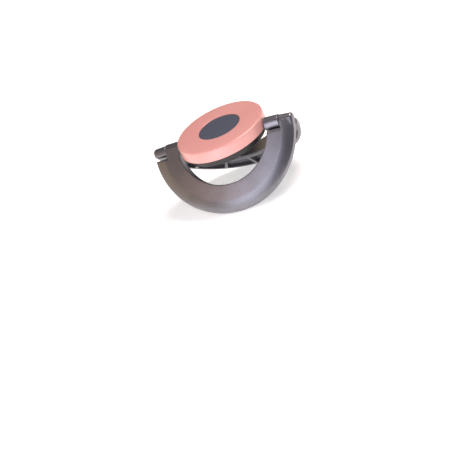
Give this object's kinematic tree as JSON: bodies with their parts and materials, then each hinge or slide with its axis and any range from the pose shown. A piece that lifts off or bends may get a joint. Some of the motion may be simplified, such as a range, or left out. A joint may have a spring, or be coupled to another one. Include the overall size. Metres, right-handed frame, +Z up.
{
  "type": "champagne stopper",
  "caption": "Clamp stopper for sparkling-wine bottles: flat round cap with a silicone plug and hinged half-ring wings that fold down and hook under the bottle's bead.",
  "frame": {"origin": "centre of the seal's face, where the bottle's rim meets it", "axes": "+Z up through the cap, away from the bottle; X along the hinge line of both wings"},
  "size_m": [0.08, 0.0514, 0.0385],
  "materials": {
    "rose_cover": "satin rose anodised, fine even grain",
    "inlay": "fine matt, dark blue-grey",
    "hub": "satin moulded, charcoal",
    "wings": "satin metallic anthracite, moulded",
    "steel": "bright drawn and machined",
    "silicone": "matt moulded silicone, dark grey",
    "core": "plain moulded"
  },
  "bodies": {
    "cap": {"top_cover": "rose_cover", "centre_inlay": "inlay", "hub": "hub", "hinge_pin_left": "steel", "hinge_pin_right": "steel", "seal": "silicone", "seal_core": "core", "core_screw": "steel", "screw_washer": "steel"},
    "front_wing": {"front_wing": "wings"},
    "rear_wing": {"rear_wing": "wings"}
  },
  "joints": [
    {"name": "front_wing_hinge", "type": "hinge", "parent": "cap", "child": "front_wing", "pos_m": [0, 0, 0.0025], "axis": [-1, 0, 0], "range_deg": [0, 90]},
    {"name": "rear_wing_hinge", "type": "hinge", "parent": "cap", "child": "rear_wing", "pos_m": [0, 0, 0.0025], "axis": [1, 0, 0], "range_deg": [0, 90]}
  ]
}
